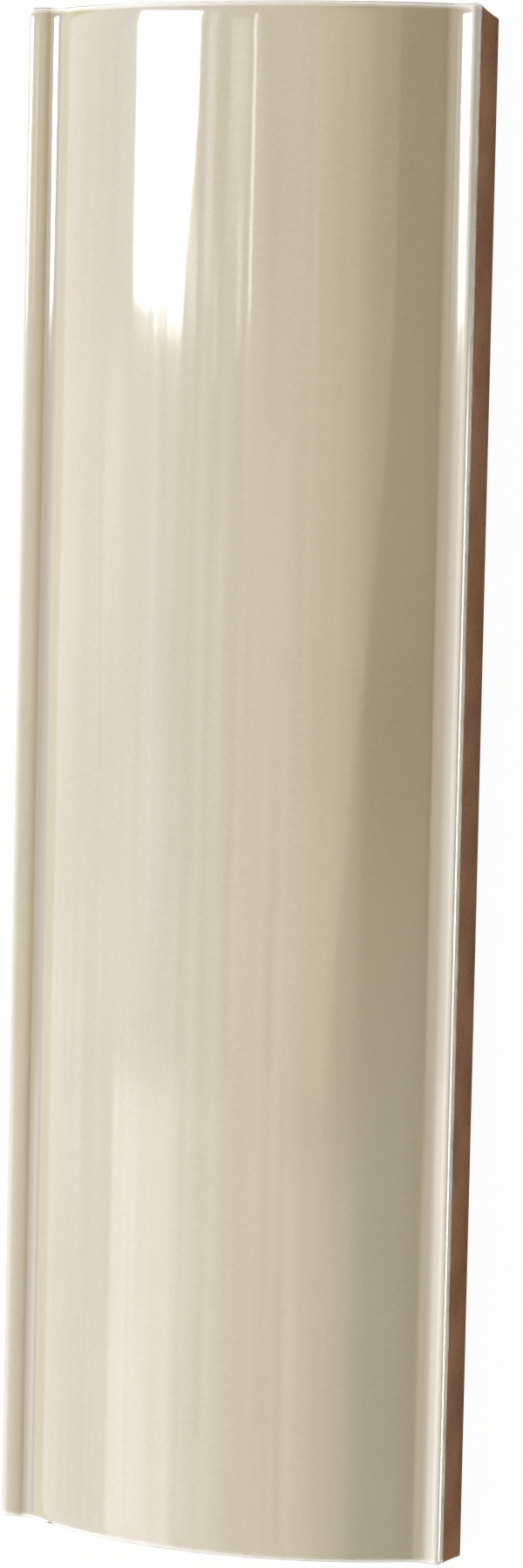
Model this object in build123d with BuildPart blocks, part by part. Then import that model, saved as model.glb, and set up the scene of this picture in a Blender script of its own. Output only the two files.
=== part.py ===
"""Convex trim tile: a fired clay moulding with a glazed, arched front and a keyed back.

Millimetres. X is across the tile, Y along it, Z out of the front. The back lies on Z = 0.
"""
import os

from build123d import *

os.makedirs("parts", exist_ok=True)

# Overall sizes
length = 152.0
width = 48.0
hollow_height = 5.5     # back to the floor of the hollow beside each foot of the arch
crown_height = 12.2     # back to the top of the arch

# Moulded front
left_lip = 2.55         # width of the left lip, from the rim to the floor of its hollow
left_rise = 0.2         # rise of that lip from the floor to the corner of the rim, before it is rolled
left_bead = 0.24        # how far that lip swells above a straight line from floor to rim
left_floor = 1.05       # level floor between the left lip and the arch
right_lip = 2.65        # width of the right lip, from the rim to the foot of the arch
right_rise = 0.42       # rise of that lip from the foot to the corner of the rim, before it is rolled
right_dish = 0.12       # how far that lip sinks below a straight line from foot to rim
crease_radius = 0.3     # hollow angle between the left lip and its floor
cove_radius = 2.5       # hollow angle at each foot of the arch
left_roll = 0.8         # rounding of the left rim, fuller than the right one
right_roll = 0.6        # rounding of the right rim
end_roll = 0.5          # rounding of the front of both ends and of the upright corners

# Back and its keying grooves
back_radius = 0.2
groove_count = 4        # an even number leaves a land on the centre line
groove_width = 5.6
groove_depth = 0.8
groove_flare = 15.0     # lean of the groove walls, in degrees
side_land = 5.0         # back left whole beside each long edge

# Undercut of the upper end, below its upright face
undercut_height = 4.6
undercut_depth = 1.2

# Sizes that follow from the ones above
half_width = width / 2
half_length = length / 2
left_crease = left_lip - half_width
left_foot = left_crease + left_floor
right_foot = half_width - right_lip
arch_middle = (left_foot + right_foot) / 2
left_rim_height = hollow_height + left_rise
right_rim_height = hollow_height + right_rise
groove_pitch = (width - 2 * side_land - groove_width) / (groove_count - 1)

with BuildPart() as trim_tile:
    # Section: beaded left lip, hollow, arch and dished right lip over a straight-sided body
    with BuildSketch(Plane.XZ) as section:
        with BuildLine():
            bead = SagittaArc((-half_width, left_rim_height), (left_crease, hollow_height), left_bead)
            arch = ThreePointArc(
                (left_foot, hollow_height),
                (arch_middle, crown_height),
                (right_foot, hollow_height),
            )
            dish = SagittaArc(arch @ 1, (half_width, right_rim_height), -right_dish)
            Line(bead @ 1, arch @ 0)
            Polyline(dish @ 1, (half_width, 0), (-half_width, 0), bead @ 0)
        make_face()
        feet = section.vertices().group_by(Axis.Y)[1].sort_by(Axis.X)[1:]
        fillet(feet, cove_radius)
        crease = section.vertices().group_by(Axis.Y)[1].sort_by(Axis.X)[0]
        fillet(crease, crease_radius)
        left_rim = section.vertices().group_by(Axis.X)[0].sort_by(Axis.Y)[-1]
        fillet(left_rim, left_roll)
        right_rim = section.vertices().group_by(Axis.X)[-1].sort_by(Axis.Y)[-1]
        fillet(right_rim, right_roll)
    extrude(amount=half_length, both=True)

    # Rolled edges round the front of both ends, down the four upright corners
    end_edges = trim_tile.faces().filter_by(Axis.Y).edges()
    front_edges = [edge for edge in end_edges if edge.center().Z > back_radius]
    fillet(front_edges, end_roll)

    # Softened edge around the back
    fillet(trim_tile.faces().sort_by(Axis.Z)[0].edges(), back_radius)

    # Upper end cut back below its upright face
    with BuildSketch(Plane.YZ):
        with BuildLine():
            Polyline(
                (half_length, undercut_height),
                (half_length - undercut_depth, 0),
                (half_length, 0),
                close=True,
            )
        make_face()
    extrude(amount=width, both=True, mode=Mode.SUBTRACT)

    # Keying grooves along the whole back
    with BuildSketch(Plane.XZ):
        with GridLocations(groove_pitch, 0, groove_count, 1):
            with Locations((0, groove_depth / 2)):
                Trapezoid(groove_width, groove_depth, 90 - groove_flare)
    extrude(amount=length, both=True, mode=Mode.SUBTRACT)

trim_tile.part.label = "trim_tile"
export_step(trim_tile.part, "parts/trim_tile.step")
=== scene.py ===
"""Convex trim tile: a cream glaze over fired brown clay, on a pale floor under soft boxes.

The scene is in metres. The tile's own sizes are in millimetres, as it was moulded.
"""

import math

import bpy
import numpy as np
from mathutils import Euler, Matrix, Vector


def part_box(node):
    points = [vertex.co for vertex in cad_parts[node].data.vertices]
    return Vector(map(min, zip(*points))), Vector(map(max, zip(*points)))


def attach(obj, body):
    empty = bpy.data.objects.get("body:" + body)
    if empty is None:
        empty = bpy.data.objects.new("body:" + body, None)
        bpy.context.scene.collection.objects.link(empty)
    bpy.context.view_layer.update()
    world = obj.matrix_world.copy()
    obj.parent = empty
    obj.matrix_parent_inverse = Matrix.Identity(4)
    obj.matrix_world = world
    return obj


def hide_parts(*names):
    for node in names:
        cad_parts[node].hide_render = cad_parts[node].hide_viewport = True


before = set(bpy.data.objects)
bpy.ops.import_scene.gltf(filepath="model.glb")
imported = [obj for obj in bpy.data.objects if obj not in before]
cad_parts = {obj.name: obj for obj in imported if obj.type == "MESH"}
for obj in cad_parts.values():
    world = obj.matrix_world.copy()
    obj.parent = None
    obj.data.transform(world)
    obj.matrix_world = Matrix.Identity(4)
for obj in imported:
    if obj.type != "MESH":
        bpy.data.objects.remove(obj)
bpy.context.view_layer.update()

mm = 0.001

# The tile's box, from the frame
tile_low, tile_high = (np.array(corner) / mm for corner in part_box("trim_tile"))
half_width = tile_high[0]
half_length = tile_high[1]
crown_height = tile_high[2]

# Moulded front
hollow_height = 5.5
left_lip = 2.55
left_rise = 0.2
left_bead = 0.24
left_floor = 1.05
right_lip = 2.65
right_rise = 0.42
right_dish = 0.12
crease_radius = 0.3
cove_radius = 2.5
left_roll = 0.8
right_roll = 0.6
end_roll = 0.5

# Arch, from the lips and hollows that it stands between
arch_middle = (left_lip + left_floor - right_lip) / 2
arch_reach = half_width - (left_lip + left_floor + right_lip) / 2
arch_rise = crown_height - hollow_height
arch_radius = (arch_reach ** 2 + arch_rise ** 2) / (2 * arch_rise)

# Back, grooves and undercut end
back_radius = 0.2
back_roll = 0.14            # rounding of the ends where they meet the back
groove_count = 4
groove_width = 5.6
groove_depth = 0.8
groove_flare = math.radians(15.0)
side_land = 5.0
undercut_height = 4.6
undercut_depth = 1.2
waist_height = 2.0          # where the skins of front and back meet on each side

# Glaze: where it ends
right_glaze_line = 4.75     # height on the right side at which it stops
left_glaze_line = 4.4
long_uneven = 0.10          # rise and fall of those lines, in long waves and in short ones
short_uneven = 0.06
rim_gain = 4                # how fast the distance to its edge grows in from a side
upper_glaze_turn = math.radians(92.0)   # how far it goes round the rolled edge of each end
lower_glaze_turn = math.radians(52.0)
end_uneven = 0.02
bare = -1.0                 # distance to its edge that stands for no glaze anywhere near
nick_place = (-17.7, -75.9)             # small bare nick in the front edge of the lower end
nick_size = 0.24
nick_bite = 1.1

# Glaze: how its surface lies
upper_fall = 0.13           # how far it has sunk towards each end
lower_fall = 0.06
end_fall_reach = 1.7
fall_heights = (4.8, 5.5)   # the sinking starts between these heights, above the sides
glaze_thickness = 0.09
end_thickness = 0.02        # the same on the rolled edges of the ends
step_reach = (-0.16, 0.10)  # it comes down to the clay between these distances from its edge
step_heights = (0.2, 1.5)   # the clay lies back fully from here up, and not at all at the back
glaze_swell = 0.012         # long, low waves
swell_heights = (1.0, 5.0)

# Glaze is deeper in the hollows beside the arch, where it is also darkened as painted shade, and thin over the
# rims and ends, where it is also paled as a painted highlight
shaded_pool_hollows = ((-20.95, 1.0), (21.7, 0.8))     # middle and reach of each hollow, across the tile
thin_highlit_rim = (22.7, 23.7)
left_thin_highlight = 0.55        # share of the right rim's thinning, and of its painted highlight, that the left one has
thin_end_highlight = (-0.16, 0.22)    # where it thins on the rolled edge of an end, along the roll from its start; it is also painted paler there as a highlight

# Colours of glaze and clay
cream_clouds = ((0.572, 0.481, 0.268, 1), (0.606, 0.515, 0.296, 1))
cream_stipple = (0.70, 0.62, 0.42, 1)
# Darker cream for glaze pooled in the hollows, dark enough to be painted shade as well
pooled_cream_and_shade = (0.40, 0.305, 0.140, 1)
# Paler cream where the glaze thins over the rims, pale enough to be a painted highlight as well
rim_cream_highlight = (0.89, 0.82, 0.65, 1)
# Near-white cream where the glaze thins on the rolled ends, a painted highlight there
end_cream_highlight = (0.96, 0.92, 0.82, 1)
edge_olive = ((0.23, 0.187, 0.098, 1), (0.42, 0.345, 0.20, 1))
clay_brown = ((0.300, 0.157, 0.087, 1), (0.398, 0.216, 0.124, 1))
pale_grit = (0.42, 0.215, 0.115, 1)
dark_grit = (0.145, 0.081, 0.054, 1)

# Steps of the surface
side_steps = 14
roll_steps = 16
lip_steps = 10
crease_steps = 6
cove_steps = 12
arch_steps = 34
corner_steps = 5
length_rows = 200
shoulder_rows = 16
shoulder_share = 0.02       # share of the length at each end that has the closer rows
end_rows = 9
cap_rows = 8
sharp_angle = math.radians(40)

# Camera of the photograph
photo_height = 1800
focal_pixels = 5901.62
camera_place = (0.201318, 0.036996, 0.469778)
camera_yaw = math.radians(23.1178)
camera_pitch = math.radians(4.2084)
camera_roll = math.radians(1.2710)
sensor_height = 36.0
near_clip = 0.01

# Studio
lamp_distance = 1.5
lean_share = 0.25           # share of a soft box's length over which its right side leans
tooth_scale = 14.0          # notches in a ragged end
streak_scale = (70.0, 8.0)  # streaks across a soft box, and along it
floor_size = 4.0
floor_gap = 0.02 * mm
floor_colour = (0.8, 0.8, 0.8, 1)
floor_glow = 0.97           # share of the floor's white that shadows don't touch
fill_light = 0.04


class Flow:
    """A socket in a node tree. Arithmetic on flows and numbers adds Math nodes to that tree."""

    def __init__(self, tree, socket=None):
        self.tree = tree
        self.socket = socket

    def node(self, kind, settings, inlets, outlet=0):
        """Adds one node: its settings, then a value or a flow for each inlet. Gives one outlet as a flow."""
        made = self.tree.nodes.new("ShaderNode" + kind)
        for name, value in settings.items():
            if name == "stops":
                self.set_stops(made.color_ramp, value)
            else:
                setattr(made, name, value)
        for name, value in inlets.items():
            if isinstance(value, Flow):
                self.tree.links.new(value.socket, made.inputs[name])
            else:
                made.inputs[name].default_value = value
        return Flow(self.tree, made.outputs[outlet])

    @staticmethod
    def set_stops(ramp, stops):
        """Puts (place, colour) pairs on a colour ramp that has two stops to begin with."""
        while len(ramp.elements) < len(stops):
            ramp.elements.new(1.0)
        for element, (place, colour) in zip(ramp.elements, stops):
            element.position = place
            element.color = colour

    def math(self, operation, *values):
        """A Math node with this operation on flows and numbers."""
        return self.node("Math", {"operation": operation}, dict(enumerate(values)))

    def __add__(self, other):
        return self.math("ADD", self, other)

    def __sub__(self, other):
        return self.math("SUBTRACT", self, other)

    def __rsub__(self, other):
        return self.math("SUBTRACT", other, self)

    def __mul__(self, other):
        return self.math("MULTIPLY", self, other)

    __radd__ = __add__
    __rmul__ = __mul__

    def rise(self, low, high):
        """0 below low, 1 above high and a smooth step between them."""
        settings = {"interpolation_type": "SMOOTHSTEP"}
        return self.node("MapRange", settings, {"Value": self, "From Min": low, "From Max": high})

    def mix(self, colour_a, colour_b):
        """colour_a where this flow is 0, colour_b where it is 1."""
        return self.node("Mix", {"data_type": "RGBA"}, {0: self, 6: colour_a, 7: colour_b}, outlet=2)

    def noise(self, place, per_mm, detail):
        """Cloudy noise with so many cells to the millimetre at this place."""
        inlets = {"Vector": place, "Scale": per_mm / mm, "Detail": detail, "Roughness": 0.55}
        return self.node("TexNoise", {}, inlets, "Fac")


def arc(centre, radius, start, stop, count):
    """Points on a circle: centre + radius * (sin, cos) of angles stepped evenly from +Z towards +X."""
    angle = np.linspace(start, stop, count)
    return np.stack([centre[0] + radius * np.sin(angle), centre[1] + radius * np.cos(angle)], axis=-1)


def chord_arc(foot, corner, height):
    """Radius and centre of the arc this high over the chord from a lip's foot to the corner of its rim.

    The radius is (c * c / 4 + h * h) / (2 h) for a chord c, and a height below 0 dishes the arc.
    """
    chord = corner - foot
    span = np.linalg.norm(chord)
    radius = (span ** 2 / 4 + height ** 2) / (2 * height)
    return abs(radius), (foot + corner) / 2 - (radius - height) * np.array([-chord[1], chord[0]]) / span


def rim_and_side(centre, roll, start):
    """The rolled rim from its start angle to upright, and the side below it down to the waist."""
    rim = arc(centre, roll, start, math.pi / 2, roll_steps)
    return np.concatenate([rim[1:], np.linspace(rim[-1], (half_width, waist_height), side_steps)[1:]])


def left_flank():
    """Left half of the front, waist to crown: side, rolled rim, beaded lip, crease, floor, cove and arch.

    It is worked out on the right and then mirrored. The cove's centre stands cove_radius above the floor
    and arch_radius + cove_radius from the arch's centre, so the cove touches both. The crease touches floor
    and bead from outside, and the roll touches bead and side from inside.
    """
    arch_centre = np.array([-arch_middle, crown_height - arch_radius])
    cove_level = hollow_height + cove_radius
    cove_reach = math.sqrt((arch_radius + cove_radius) ** 2 - (cove_level - arch_centre[1]) ** 2)
    cove_centre = arch_centre + (cove_reach, cove_level - arch_centre[1])
    meet = math.atan2(*(cove_centre - arch_centre))

    foot = np.array([half_width - left_lip, hollow_height])
    corner = np.array([half_width, hollow_height + left_rise])
    bead_radius, bead_centre = chord_arc(foot, corner, left_bead)
    crease_level = hollow_height + crease_radius - bead_centre[1]
    crease_reach = math.sqrt((bead_radius + crease_radius) ** 2 - crease_level ** 2)
    crease_centre = bead_centre + (-crease_reach, crease_level)
    inner = math.atan2(*(crease_centre - bead_centre))
    roll_reach = half_width - left_roll - bead_centre[0]
    roll_centre = bead_centre + (roll_reach, math.sqrt((bead_radius - left_roll) ** 2 - roll_reach ** 2))
    outer = math.atan2(*(roll_centre - bead_centre))

    flank = np.concatenate([
        arc(arch_centre, arch_radius, 0.0, meet, arch_steps),
        arc(cove_centre, -cove_radius, meet, 0.0, cove_steps)[1:],
        arc(crease_centre, -crease_radius, 0.0, inner, crease_steps),
        arc(bead_centre, bead_radius, inner, outer, lip_steps)[1:],
        rim_and_side(roll_centre, left_roll, outer),
    ])
    return flank[::-1] * (-1, 1)


def right_flank():
    """Right half of the front, crown to waist: arch, cove, dished lip, rolled rim and side.

    The cove's centre is where two circles cross: arch_radius + cove_radius about the arch's centre, and
    dish_radius - cove_radius about the dish's. The roll touches the dish from outside and the side from
    inside.
    """
    arch_centre = np.array([arch_middle, crown_height - arch_radius])
    foot = np.array([half_width - right_lip, hollow_height])
    corner = np.array([half_width, hollow_height + right_rise])
    dish_radius, dish_centre = chord_arc(foot, corner, -right_dish)
    between = dish_centre - arch_centre
    gap = np.linalg.norm(between)
    along = (gap ** 2 + (arch_radius + cove_radius) ** 2 - (dish_radius - cove_radius) ** 2) / (2 * gap)
    beside = math.sqrt((arch_radius + cove_radius) ** 2 - along ** 2)
    cove_centre = arch_centre + (along * between + beside * np.array([between[1], -between[0]])) / gap
    meet = math.atan2(*(cove_centre - arch_centre))
    inner = math.atan2(*(dish_centre - cove_centre))
    roll_reach = half_width - right_roll - dish_centre[0]
    roll_centre = dish_centre + (roll_reach, -math.sqrt((dish_radius + right_roll) ** 2 - roll_reach ** 2))
    outer = math.atan2(*(dish_centre - roll_centre))
    return np.concatenate([
        arc(arch_centre, arch_radius, 0.0, meet, arch_steps),
        arc(cove_centre, -cove_radius, meet, inner, cove_steps)[1:],
        arc(dish_centre, -dish_radius, inner, outer, lip_steps)[1:],
        rim_and_side(roll_centre, right_roll, outer),
    ])


def back_chain(front):
    """The back from mid left side to mid right side, with as many points as the front, at like places across.

    Corner points of the sides, the softened edges and the grooves are set against the nearest front points,
    and the rest lie evenly between them.
    """
    pitch = (2 * (half_width - side_land) - groove_width) / (groove_count - 1)
    middle = (np.arange(groove_count) - (groove_count - 1) / 2) * pitch
    lean = groove_depth * math.tan(groove_flare)
    half_groove = groove_width / 2
    across = np.array([-half_groove, lean - half_groove, half_groove - lean, half_groove])
    grooves_x = (middle[:, None] + across).ravel()
    grooves_z = np.tile([0.0, groove_depth, groove_depth, 0.0], groove_count)
    grooves = np.stack([grooves_x, grooves_z], axis=-1)
    corner_centre = (half_width - back_radius, back_radius)
    corner = arc(corner_centre, back_radius, math.pi / 2, math.pi, corner_steps)
    right = np.concatenate([front[-1:], corner])
    left = right * (-1, 1)
    keys = np.concatenate([left, grooves, right[::-1]])
    count = np.arange(len(keys))
    spots = np.searchsorted(front[:, 0], keys[:, 0])
    spots = np.maximum.accumulate(spots - count) + count
    room = len(front) - 1 - count[::-1]
    spots = np.minimum(spots, room)
    spots[0] = 0
    spots[-1] = len(front) - 1
    steps = np.arange(len(front))
    return np.stack([np.interp(steps, spots, keys[:, axis]) for axis in (0, 1)], axis=-1)


def waves(place, lengths, seed):
    """A sum of sines along a place, one for each wave length, with fixed phases, between about -1 and 1."""
    phase = np.random.default_rng(seed).uniform(0, 2 * math.pi, len(lengths))
    turns = 2 * math.pi * np.asarray(place)[..., None] / np.array(lengths) + phase
    return np.sin(turns).mean(axis=-1)


def smooth(value, low, high):
    """0 below low, 1 above high and a smooth cubic step between them."""
    share = np.clip((value - low) / (high - low), 0, 1)
    return share * share * (3 - 2 * share)


def end_plane(height):
    """Y of the upper end at each height: straight above the undercut, sloping inwards below it."""
    return half_length - undercut_depth * np.clip(1 - height / undercut_height, 0, 1)


def tile_surface():
    """Grids over the closed skin, and the inner points of its two ends.

    The grids hold points, normals, the distance to the glaze's edge, how far the glaze has sunk and how thin
    it is on the ends, which also places a painted highlight there. Their columns are the section loop, and
    the last value given is how many of them are the front's.

    The section loop, front and then back, is carried along Y. Past each end of the straight run it is drawn
    in along its own normal by r (1 - cos a) while it moves on by r sin a, which rolls the edge. The end
    itself is ruled between each point of the front and the matching point of the back.
    """
    front = np.concatenate([left_flank(), right_flank()[1:]])
    back = back_chain(front)
    loop = np.concatenate([front, back[-2:0:-1]])
    ahead = np.roll(loop, -1, axis=0) - np.roll(loop, 1, axis=0)
    ahead /= np.linalg.norm(ahead, axis=1, keepdims=True)
    outward = np.stack([-ahead[:, 1], ahead[:, 0]], axis=-1)

    roll = np.interp(loop[:, 1], [groove_depth, waist_height], [back_roll, end_roll])
    upper = end_plane(loop[:, 1]) - roll
    lower = roll - half_length
    turn = np.linspace(0, math.pi / 2, end_rows + 1)[1:, None]
    near = np.linspace(0, shoulder_share, shoulder_rows)[:-1]
    straight = np.linspace(shoulder_share, 1 - shoulder_share, length_rows)
    share = np.concatenate([near, straight, 1 - near[::-1]])[:, None]
    run_y = lower + share * (upper - lower)
    y = np.concatenate([(lower - roll * np.sin(turn))[::-1], run_y, upper + roll * np.sin(turn)])
    bend = np.concatenate([turn[::-1] * -1, np.zeros_like(share), turn])
    inset = roll * (1 - np.cos(bend))
    x = loop[:, 0] - inset * outward[:, 0]
    z = loop[:, 1] - inset * outward[:, 1]
    skin = np.stack([x, y, z], axis=-1)
    normal = np.stack([
        outward[:, 0] * np.cos(bend),
        np.broadcast_to(np.sin(bend), x.shape),
        outward[:, 1] * np.cos(bend),
    ], axis=-1)

    to_end = -roll * np.abs(bend)
    to_end[end_rows:-end_rows] += np.minimum(run_y - lower, upper - run_y)
    on_end = to_end + np.where(y > 0, upper_glaze_turn, lower_glaze_turn) * roll
    end_fall = np.where(y > 0, upper_fall, lower_fall)
    sunk = end_fall * np.clip(1 - to_end / end_fall_reach, 0, 1) ** 2 * smooth(loop[:, 1], *fall_heights)
    glaze = np.minimum(side_glaze(skin), on_end + end_uneven * waves(x, (3.1, 7.7, 1.3), seed=5))
    behind = np.arange(len(loop)) >= len(front)
    glaze = np.where(behind, np.minimum(glaze, bare), glaze)
    # Thinner glaze on the rolled edges of the ends, which also places a painted highlight there
    thin_and_highlit = smooth(-to_end, *thin_end_highlight)

    caps = [end_cap(skin[row], len(front), sign) for row, sign in ((0, -1), (-1, 1))]
    return skin, normal, glaze, sunk, thin_and_highlit, caps, len(front)


def side_glaze(skin):
    """Signed distance up each side from the line where the glaze stops, plus a steep rise inwards."""
    x, y, z = np.moveaxis(skin, -1, 0)
    line = np.where(x > 0, right_glaze_line, left_glaze_line)
    long_waves = long_uneven * waves(y, (31.0, 13.0, 7.1), seed=1)
    short_waves = short_uneven * waves(y, (3.7, 2.3, 1.6), seed=2)
    inward = half_width - np.where(x > 0, right_roll, left_roll) - np.abs(x)
    return z - line - (long_waves + short_waves) + rim_gain * np.clip(inward, 0, None)


def end_cap(rim, front_count, sign):
    """Inner points of one end: straight steps from each front point of its rim to the matching back point."""
    front = rim[:front_count]
    back = np.concatenate([front[:1], rim[:front_count - 1:-1], front[-1:]])
    share = np.linspace(0, 1, cap_rows + 1)[1:-1, None, None]
    inner = front[1:-1] + share * (back - front)[1:-1]
    inner[..., 1] = end_plane(inner[..., 2]) if sign > 0 else -half_length
    return inner


def grid_faces(index, flip=False):
    """Quads between neighbouring rows and columns of an index grid, turned round where flip is set."""
    corners = (index[:-1, :-1], index[:-1, 1:], index[1:, 1:], index[1:, :-1])
    return np.stack(corners[::-1] if flip else corners, axis=-1).reshape(-1, 4)


def cap_faces(rim_index, inner_index, front_count, flip):
    """Faces of an end: quads between the ruled columns, and triangles where they close on mid side."""
    front = rim_index[:front_count]
    back = np.concatenate([front[:1], rim_index[:front_count - 1:-1], front[-1:]])
    columns = np.concatenate([front[None, 1:-1], inner_index, back[None, 1:-1]])
    quads = grid_faces(columns, flip)
    left = np.stack([np.full(cap_rows, front[0]), columns[:-1, 0], columns[1:, 0]], axis=-1)
    right = np.stack([columns[:-1, -1], np.full(cap_rows, front[-1]), columns[1:, -1]], axis=-1)
    fans = np.concatenate([left, right])
    return quads, fans[:, ::-1] if flip else fans


def glazed_tile():
    """The tile's skin as one closed mesh, with the glaze's distance to its edge and its depth on each vertex,
    the depth darkened as painted shade in the hollows and paled as a painted highlight on the rims and ends.

    Each point is drawn in along its normal: by the glaze's thickness where the clay is bare, by how far the
    glaze has sunk towards the ends, and by its low waves.
    """
    skin, normal, glaze, sunk, thin_and_highlit, caps, front_count = tile_surface()
    x, y, z = np.moveaxis(skin, -1, 0)

    from_nick = (x - nick_place[0]) ** 2 + (y - nick_place[1]) ** 2
    glaze = glaze - nick_bite * (np.exp(-from_nick / nick_size ** 2) * (z > hollow_height))
    swell = waves(x + 0.35 * y, (23.0, 11.0, 17.0), seed=3) + waves(y - 0.2 * x, (41.0, 19.0), seed=4)
    thickness = glaze_thickness + (end_thickness - glaze_thickness) * thin_and_highlit
    step_back = thickness * (1 - smooth(glaze, *step_reach)) * smooth(z, *step_heights)
    depth = step_back + sunk + glaze_swell * (2 + swell) / 4 * smooth(z, *swell_heights)
    skin = skin - normal * depth[..., None]

    # Pooling in the hollows darkens the glaze and is partly painted shade; thinning over the rims and ends
    # pales it and is partly a painted highlight
    pooled_and_shaded = sum(np.exp(-((x - place) / reach) ** 2) for place, reach in shaded_pool_hollows)
    # Thinner glaze over the rims, also paled as a painted highlight, less on the left
    rim_thin_highlight = smooth(np.abs(x), *thin_highlit_rim) * np.where(x > 0, 1.0, left_thin_highlight)
    pool_shade_and_highlight = [((1 - thin_and_highlit) * pooled_and_shaded - rim_thin_highlight - 2 * thin_and_highlit).ravel()]
    distance = [glaze.ravel()]
    points = [skin.reshape(-1, 3)]

    rows, columns = x.shape
    index = np.arange(rows * columns).reshape(rows, columns)
    wrapped = np.concatenate([index, index[:, :1]], axis=1)
    quads = [grid_faces(wrapped)]
    fans = []
    for inner, row, flip in zip(caps, (0, -1), (True, False)):
        count = inner[..., 0].size
        first = sum(len(part) for part in points)
        inner_index = first + np.arange(count).reshape(inner.shape[:2])
        cap_quads, cap_fans = cap_faces(index[row], inner_index, front_count, flip)
        quads.append(cap_quads)
        fans.append(cap_fans)
        points.append(inner.reshape(-1, 3) + (0, end_thickness if flip else -end_thickness, 0))
        distance.append(np.full(count, bare))
        pool_shade_and_highlight.append(np.zeros(count))

    mesh = bpy.data.meshes.new("glazed_tile")
    faces = np.concatenate(quads).tolist() + np.concatenate(fans).tolist()
    mesh.from_pydata((np.concatenate(points) * mm).tolist(), [], faces)
    for name, values in (("glaze_edge", distance), ("glaze_pool", pool_shade_and_highlight)):
        layer = mesh.attributes.new(name, "FLOAT", "POINT")
        layer.data.foreach_set("value", np.concatenate(values).astype(np.float32))
    mesh.shade_smooth()
    mesh.set_sharp_from_angle(angle=sharp_angle)
    tile = bpy.data.objects.new("glazed_tile", mesh)
    bpy.context.scene.collection.objects.link(tile)
    return tile


def glazed_clay():
    """Cream glaze over brown clay, parted by the distance to the glaze's edge.

    The glaze is cloudy cream, deeper where it pools, where it is also darkened as painted shade, and paler
    where it thins over the rims and the ends, where it is also paled as a painted highlight.
    Along its edge on the sides it turns olive. The clay is a mottled brown with fine grit.
    """
    material = bpy.data.materials.new("glazed_clay")
    material.use_nodes = True
    tree = material.node_tree
    flow = Flow(tree)
    place = flow.node("TexCoord", {}, {}, "Object")
    edge = flow.node("Attribute", {"attribute_name": "glaze_edge"}, {}, "Fac")
    pool_shade_and_highlight = flow.node("Attribute", {"attribute_name": "glaze_pool"}, {}, "Fac")
    thinned_highlight = 0 - pool_shade_and_highlight
    # Where the rolled ends are painted near-white as a highlight
    highlit_over_end = thinned_highlight.rise(1.0, 2.0)

    ragged = edge + (flow.noise(place, 1.6, 3.0) - 0.5) * (0.22 - highlit_over_end * 0.18)
    glazed = ragged.rise(-0.03, 0.04)
    full = (edge + (flow.noise(place, 0.9, 3.0) - 0.5) * 0.3 + highlit_over_end * 0.75).rise(0.22, 0.62)

    cream = flow.noise(place, 0.035, 3.0).rise(0.3, 0.7).mix(*cream_clouds)
    stipple = flow.noise(place, 2.2, 2.0).rise(0.35, 0.75)
    cream = (stipple * 0.16).mix(cream, cream_stipple)
    # Deeper pooled glaze in the hollows, which is also painted shade there
    cream = (pool_shade_and_highlight.rise(0.0, 1.0) * 0.9).mix(cream, pooled_cream_and_shade)
    # Paler where the glaze thins over the rims and ends, partly a painted highlight
    cream = (thinned_highlight.rise(0.0, 1.0) * 0.9).mix(cream, rim_cream_highlight)
    # Near-white on the rolled ends, a painted highlight
    cream = highlit_over_end.mix(cream, end_cream_highlight)
    olive = flow.noise(place, 0.8, 2.0).mix(*edge_olive)

    clay = flow.noise(place, 0.16, 4.0).rise(0.3, 0.7).mix(*clay_brown)
    grit = flow.noise(place, 2.6, 5.0)
    clay = (grit.rise(0.52, 0.72) * 0.5).mix(clay, pale_grit)
    clay = ((1 - grit).rise(0.54, 0.74) * 0.6).mix(clay, dark_grit)

    peel = flow.noise(place, 0.25, 1.0)
    wavy = flow.node("Bump", {}, {"Height": peel, "Distance": 0.005 * mm, "Strength": 1.0}, "Normal")
    tooth = flow.noise(place, 4.0, 3.0) * 0.5 + flow.noise(place, 1.1, 2.0) * 0.5
    rough = flow.node("Bump", {}, {"Height": tooth, "Distance": 0.12 * mm, "Strength": 1.0}, "Normal")

    glaze = flow.node("BsdfPrincipled", {}, {
        "Base Color": full.mix(olive, cream), "Roughness": 0.06, "IOR": 1.6, "Normal": wavy})
    body = flow.node("BsdfPrincipled", {}, {
        "Base Color": clay, "Roughness": 0.9, "Specular IOR Level": 0.0, "Normal": rough})
    both = flow.node("MixShader", {}, {0: glazed, 1: body, 2: glaze})
    tree.nodes.remove(tree.nodes["Principled BSDF"])
    tree.links.new(both.socket, tree.nodes["Material Output"].inputs["Surface"])
    return material


def backdrop_white(flow):
    """1 for rays that should meet plain white: from the camera, and off or through shiny surfaces."""
    camera = flow.node("LightPath", {}, {}, "Is Camera Ray")
    gloss = flow.node("LightPath", {}, {}, "Is Glossy Ray")
    through = flow.node("LightPath", {}, {}, "Is Transmission Ray")
    return flow.math("MINIMUM", camera + gloss + through, 1.0)


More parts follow.
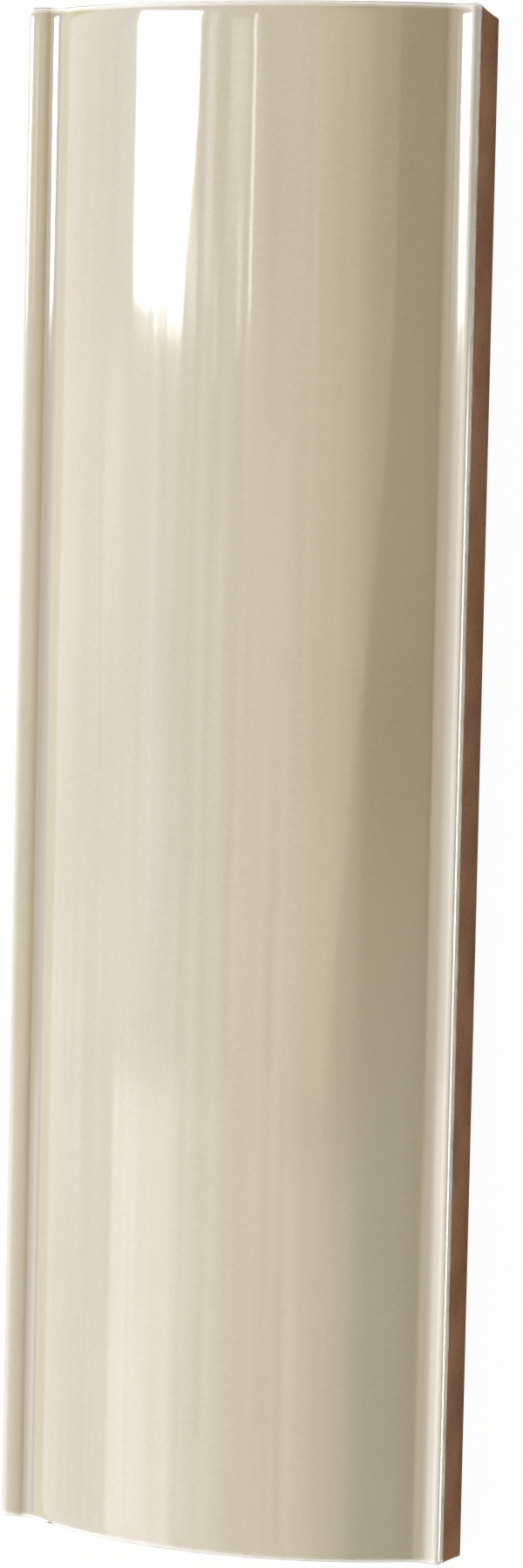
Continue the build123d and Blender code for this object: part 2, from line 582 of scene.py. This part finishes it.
def pale_floor():
    """A square of floor just under the tile, white to the camera but for a share that takes the shadow."""
    reach = floor_size / 2
    level = tile_low[2] * mm - floor_gap
    corners = [(-reach, -reach, level), (reach, -reach, level), (reach, reach, level), (-reach, reach, level)]
    mesh = bpy.data.meshes.new("floor")
    mesh.from_pydata(corners, [], [(0, 1, 2, 3)])
    floor = bpy.data.objects.new("floor", mesh)
    bpy.context.scene.collection.objects.link(floor)

    material = bpy.data.materials.new("pale_floor")
    material.use_nodes = True
    tree = material.node_tree
    shader = tree.nodes["Principled BSDF"]
    shader.inputs["Base Color"].default_value = floor_colour
    shader.inputs["Roughness"].default_value = 0.9
    flow = Flow(tree)
    white = flow.node("Emission", {}, {"Color": (1, 1, 1, 1), "Strength": 1.0})
    share = backdrop_white(flow) * floor_glow
    matt = Flow(tree, shader.outputs[0])
    mixed = flow.node("MixShader", {}, {0: share, 1: matt, 2: white})
    tree.links.new(mixed.socket, tree.nodes["Material Output"].inputs["Surface"])
    mesh.materials.append(material)
    return floor


def area_lamp(name, width, length, radiance):
    """A rectangular lamp with sides in metres, whose power is pi * radiance * area."""
    lamp = bpy.data.lights.new(name, "AREA")
    lamp.shape = "RECTANGLE"
    lamp.size = width
    lamp.size_y = length
    lamp.energy = radiance * math.pi * lamp.size * lamp.size_y
    return lamp


def hang(name, lamp, place, turn, lights):
    """Hangs a lamp that shows only in gloss, or that only lights what is matt."""
    box = bpy.data.objects.new(name, lamp)
    box.location = place
    box.rotation_euler = turn
    box.visible_diffuse = lights != "gloss"
    box.visible_glossy = lights != "matt"
    bpy.context.scene.collection.objects.link(box)


def softbox(name, azimuth, reach, radiance, fade=(0.15, 0.1), lights="gloss", stops=None, slant=0.0,
            ragged=0.0, lean=0.0, streaks=0.0):
    """A flat lamp that faces the tile's long axis from lamp_distance.

    Its long sides lie at two azimuths, in degrees from straight up towards +X, and it reaches between two
    places along Y in metres. Its light fades towards its sides and ends over these shares of its width and
    length, and may follow stops of (azimuth, colour) from side to side. Its low end may slant, and be ragged,
    by a share of its length. Its right side may lean in by a share of its width over lean_share of its
    length, and its light may be streaky.
    """
    low, high = np.radians(azimuth)
    middle = (low + high) / 2
    half_span = math.tan((high - low) / 2)
    lamp = area_lamp(name, 2 * lamp_distance * half_span, reach[1] - reach[0], radiance)
    lamp.use_nodes = True
    tree = lamp.node_tree
    emission = tree.nodes["Emission"]
    flow = Flow(tree)
    spot = flow.node("NewGeometry", {}, {}, "Parametric")
    across = flow.node("SeparateXYZ", {}, {"Vector": spot}, "X")
    along = flow.node("SeparateXYZ", {}, {"Vector": spot}, "Y")
    right_side = 1 - (1 - along.rise(0, lean_share)) * lean
    glow = across.rise(0, fade[0]) * (right_side - across).rise(0, fade[0])
    if stops:
        places = [0.5 + math.tan(math.radians(turn) - middle) / (2 * half_span) for turn, colour in stops]
        colours = [(*colour, 1) for turn, colour in stops]
        colour = flow.node("ValToRGB", {"stops": list(zip(places, colours))}, {"Fac": across}, "Color")
        tree.links.new(colour.socket, emission.inputs["Color"])
    low_end = along + across * slant
    if ragged:
        inlets = {"W": across * tooth_scale, "Scale": 1.0, "Detail": 5.0}
        low_end = low_end - flow.node("TexNoise", {"noise_dimensions": "1D"}, inlets) * ragged
    if streaks:
        grain_spot = flow.node("CombineXYZ", {}, {"X": across * streak_scale[0], "Y": along * streak_scale[1]})
        inlets = {"Vector": grain_spot, "Scale": 1.0, "Detail": 3.0}
        grain = flow.node("TexNoise", {"noise_dimensions": "2D"}, inlets)
        glow = glow * (1 + (grain - 0.5) * streaks)
    glow = glow * low_end.rise(0, fade[1]) * (1 - along).rise(0, fade[1])
    tree.links.new(glow.socket, emission.inputs["Strength"])
    place = (lamp_distance * math.sin(middle), (reach[0] + reach[1]) / 2, lamp_distance * math.cos(middle))
    hang(name, lamp, place, (0, middle, 0), lights)


def panel(name, place, turn, size, radiance, lights, colour=(1, 1, 1)):
    """A flat, even lamp. It faces down until it is turned about X, by an angle in degrees."""
    lamp = area_lamp(name, *size, radiance)
    lamp.color = colour
    hang(name, lamp, place, (math.radians(turn), 0, 0), lights)


def studio():
    """Soft boxes round the tile, and a white room that gives a low even fill."""
    # A window high on the left, with a ragged low end, and narrow strips of light beside it
    softbox("window_box", (-57.0, -32.0), (0.065, 0.46), 18.0, fade=(0.04, 0.008), slant=0.05, ragged=0.085,
            lean=0.19)
    softbox("window_edge", (-36.0, -31.6), (0.055, 0.12), 2.4, fade=(0.2, 0.3))
    softbox("strip_1", (-29.6, -26.4), (0.074, 0.46), 1.6, fade=(0.1, 0.03))
    softbox("strip_2", (-26.2, -24.0), (0.038, 0.10), 1.6, fade=(0.25, 0.15))
    softbox("strip_3", (-22.0, -15.0), (0.078, 0.30), 1.4, fade=(0.1, 0.25))
    softbox("strip_4", (-18.0, -15.8), (0.056, 0.12), 3.0, fade=(0.25, 0.2))
    softbox("strip_5", (-13.8, -12.8), (0.067, 0.40), 8.5, fade=(0.3, 0.05))
    softbox("strip_6", (-68.0, -58.4), (-0.10, 0.10), 0.7, fade=(0.1, 0.4))

    # Dim boxes that show in the tile's lower part
    softbox("low_box", (-59, -31.0), (-0.95, -0.215), 1.8, fade=(0.06, 0.03))
    softbox("low_band", (-33, -14), (-0.95, -0.20), 0.6, fade=(0.15, 0.05))
    softbox("low_veil", (-70, 30), (-0.95, 0.10), 0.4, fade=(0.1, 0.25))
    softbox("low_right", (20, 52), (-0.95, -0.08), 1.0, fade=(0.35, 0.25))
    softbox("low_step", (0, 34), (-0.95, -0.23), 0.9, fade=(0.3, 0.07))

    # A broad veil, cool on the left and dark on the right, and a warm band at its right end
    veil = [
        (-90, (0.312, 0.399, 0.635)), (-84, (0.309, 0.406, 0.662)), (-66, (0.395, 0.499, 0.803)),
        (-49, (0.607, 0.696, 1.0)), (-36, (0.599, 0.649, 0.872)), (-22, (0.619, 0.623, 0.750)),
        (-11, (0.670, 0.641, 0.703)), (0, (0.690, 0.632, 0.640)), (12, (0.540, 0.472, 0.428)),
        (22, (0.268, 0.231, 0.215)), (28, (0.0, 0.0, 0.0)), (44, (0.0, 0.0, 0.0)),
    ]
    softbox("veil_box", (-90, 45), (-1.3, 0.85), 4.41, fade=(0.001, 0.1), stops=veil, streaks=0.8)
    band = [(-2, (0, 0, 0)), (22, (1.0, 0.85, 0.62)), (34, (1.0, 0.85, 0.62))]
    softbox("right_band", (-2, 34), (-0.25, 1.11), 1.1, fade=(0.02, 0.03), stops=band, lean=0.45,
            streaks=0.8)

    # Light on matt surfaces from both sides, and a bright line for the right rim
    softbox("key_box", (-80, -20), (-1.2, 0.9), 3.2, lights="matt")
    softbox("side_box", (62, 89), (-1.2, 0.9), 1.15, lights="matt")
    softbox("rim_box", (55, 89), (-0.75, 0.09), 14.0, fade=(0.08, 0.1))

    # A cool table top on the left, and upright panels past both ends
    panel("left_table", (-1.1245, 0.0, 0.0005), 180, (2.2, 2.0), 1.35, "gloss", colour=(0.33, 0.62, 1.0))
    panel("lower_box", (0.0, -1.6, 0.85), 75, (5.0, 1.7), 0.9, "gloss")
    panel("upper_box", (0.0, 1.6, 0.85), -75, (5.0, 1.7), 0.9, "gloss")
    panel("lower_fill", (0.0, -1.5, 0.24), 82, (2.4, 0.4), 3.5, "matt")
    panel("upper_fill", (0.0, 1.5, 0.24), -82, (2.4, 0.4), 3.5, "matt")

    world = bpy.data.worlds.new("white_room")
    bpy.context.scene.world = world
    world.use_nodes = True
    flow = Flow(world.node_tree)
    background = world.node_tree.nodes["Background"]
    strength = backdrop_white(flow) * (1 - fill_light) + fill_light
    world.node_tree.links.new(strength.socket, background.inputs["Strength"])
    background.inputs["Color"].default_value = (1, 1, 1, 1)


def photo_camera():
    """The camera where the photograph was taken from, with its long lens."""
    camera = bpy.data.objects.new("camera", bpy.data.cameras.new("camera"))
    camera.data.sensor_fit = "VERTICAL"
    camera.data.sensor_height = sensor_height
    camera.data.lens = focal_pixels / photo_height * sensor_height
    camera.data.clip_start = near_clip
    camera.location = camera_place
    camera.rotation_euler = Euler((-camera_pitch, camera_yaw, camera_roll), "ZXY").to_matrix().to_euler()
    bpy.context.scene.collection.objects.link(camera)
    bpy.context.scene.camera = camera


tile = glazed_tile()
tile.data.materials.append(glazed_clay())
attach(tile, "root")
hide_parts("trim_tile")
pale_floor()
studio()
photo_camera()
bpy.context.scene.view_settings.view_transform = "Standard"
